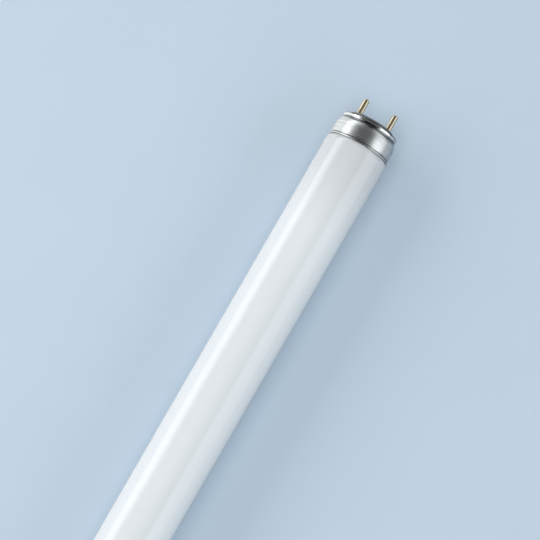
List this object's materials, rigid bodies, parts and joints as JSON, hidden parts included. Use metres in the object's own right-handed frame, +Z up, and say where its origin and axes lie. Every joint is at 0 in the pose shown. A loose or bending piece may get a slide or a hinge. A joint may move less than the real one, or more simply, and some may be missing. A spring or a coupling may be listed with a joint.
{
  "type": "fluorescent tube",
  "caption": "Straight fluorescent tube of white-coated glass with an aluminium cap and brass contact pins on each end, for plugging into lampholders.",
  "frame": {"origin": "middle of the lamp, on the axis of the glass tube", "axes": "+X along the lamp towards its right end, +Y the direction in which the two pins of each end stand side by side, +Z up, square to the plane of the pins"},
  "size_m": [0.604, 0.0258, 0.0258],
  "materials": {
    "coated_glass": "clear glossy glass over an opaque white powder coating, so it looks solid white",
    "cap_aluminium": "bright drawn sheet with fine marks round the cap",
    "insulator_moulding": "dark moulded phenolic, satin",
    "capping_cement": "hard baked cement, matt and grainy",
    "pin_brass": "drawn brass, bright, slightly tarnished",
    "lead_wire": null
  },
  "bodies": {
    "root": {"glass_tube": "coated_glass", "cap_shell_left": "cap_aluminium", "insulator_left": "insulator_moulding", "cement_ring_left": "capping_cement", "contact_pin_left_front": "pin_brass", "lead_wire_left_front": "lead_wire", "contact_pin_left_back": "pin_brass", "lead_wire_left_back": "lead_wire", "cap_shell_right": "cap_aluminium", "insulator_right": "insulator_moulding", "cement_ring_right": "capping_cement", "contact_pin_right_front": "pin_brass", "lead_wire_right_front": "lead_wire", "contact_pin_right_back": "pin_brass", "lead_wire_right_back": "lead_wire"}
  },
  "joints": []
}
